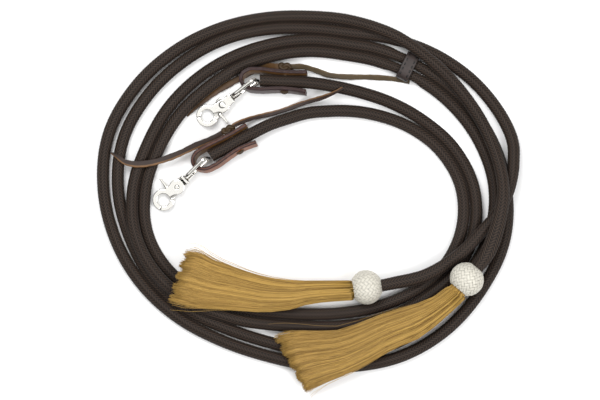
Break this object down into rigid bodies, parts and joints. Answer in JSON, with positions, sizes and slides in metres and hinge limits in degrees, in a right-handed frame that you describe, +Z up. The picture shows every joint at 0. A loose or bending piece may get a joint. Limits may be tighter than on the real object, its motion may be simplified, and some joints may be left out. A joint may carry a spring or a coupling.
{
  "type": "coiled split reins",
  "caption": "Coiled braided rope split reins with leather snap loops, swivel trigger snaps, rawhide buttons, horsehair tassels and a sliding keeper.",
  "frame": {"origin": "centre of the coil's fittings on the surface that the reins lie on", "axes": "+Z up; +X to the side of the coil where the ropes cross; +Y to the side with the snaps and the keeper"},
  "size_m": [0.4626, 0.4155, 0.0485],
  "materials": {
    "rope": "braided, matt",
    "bridle_leather": "dressed, burnished edges",
    "lace_leather": "rough cut lace",
    "nickel": "polished plate",
    "spring_steel": "drawn wire",
    "wood_core": "turned, plain",
    "rawhide": "braided, hard and pale",
    "thread": "waxed whipping",
    "horsehair": "combed, glossy",
    "keeper_leather": "stitched, smooth"
  },
  "bodies": {
    "reins": {"rein_rope_1": "rope", "leather_loop_1": "bridle_leather", "leather_tie_1": "lace_leather", "tie_lace_left_1": "lace_leather", "tie_lace_right_1": "lace_leather", "button_core_1": "wood_core", "button_braid_1": "rawhide", "tassel_binding_1": "thread", "tassel_hair_1": "horsehair", "rein_rope_2": "rope", "leather_loop_2": "bridle_leather", "leather_tie_2": "lace_leather", "tie_lace_left_2": "lace_leather", "tie_lace_right_2": "lace_leather", "button_core_2": "wood_core", "button_braid_2": "rawhide", "tassel_binding_2": "thread", "tassel_hair_2": "horsehair"},
    "keeper": {"rein_keeper": "keeper_leather"},
    "eye_1": {"swivel_eye_1": "nickel"},
    "snap_1": {"snap_body_1": "nickel", "pivot_rivet_1": "nickel", "trigger_spring_1": "spring_steel"},
    "trigger_1": {"trigger_jaw_1": "nickel"},
    "eye_2": {"swivel_eye_2": "nickel"},
    "snap_2": {"snap_body_2": "nickel", "pivot_rivet_2": "nickel", "trigger_spring_2": "spring_steel"},
    "trigger_2": {"trigger_jaw_2": "nickel"}
  },
  "joints": [
    {"name": "eye_1_swing", "type": "hinge", "parent": "reins", "child": "eye_1", "pos_m": [-0.06703, 0.15408, 0.0155], "axis": [-0.1974, 0.0289, 0.9799], "range_deg": [-1, 8]},
    {"name": "snap_1_swivel", "type": "hinge", "parent": "eye_1", "child": "snap_1", "pos_m": [-0.08867, 0.13842, 0.0116], "axis": [-0.8016, -0.5802, -0.1444], "range_deg": [-115, 160]},
    {"name": "trigger_1_open", "type": "hinge", "parent": "snap_1", "child": "trigger_1", "pos_m": [-0.1039, 0.12739, 0.00886], "axis": [-0.1169, -0.0846, 0.9895], "range_deg": [0, 25], "stiffness_Nm_per_rad": 0.15, "springref_deg": -20.05},
    {"name": "eye_2_swing", "type": "hinge", "parent": "reins", "child": "eye_2", "pos_m": [-0.12064, 0.06846, 0.0155], "axis": [-0.1995, 0.0026, 0.9799], "range_deg": [0, 30]},
    {"name": "snap_2_swivel", "type": "hinge", "parent": "eye_2", "child": "snap_2", "pos_m": [-0.14002, 0.05007, 0.0116], "axis": [-0.7178, -0.6811, -0.1444], "continuous": true},
    {"name": "trigger_2_open", "type": "hinge", "parent": "snap_2", "child": "trigger_2", "pos_m": [-0.15366, 0.03713, 0.00886], "axis": [0.1047, 0.0994, -0.9895], "range_deg": [0, 8], "stiffness_Nm_per_rad": 0.15, "springref_deg": -20.05},
    {"name": "keeper_slide", "type": "slide", "parent": "reins", "child": "keeper", "axis": [-0.893, 0.45, 0], "range_m": [-0.008, 0.008]}
  ]
}
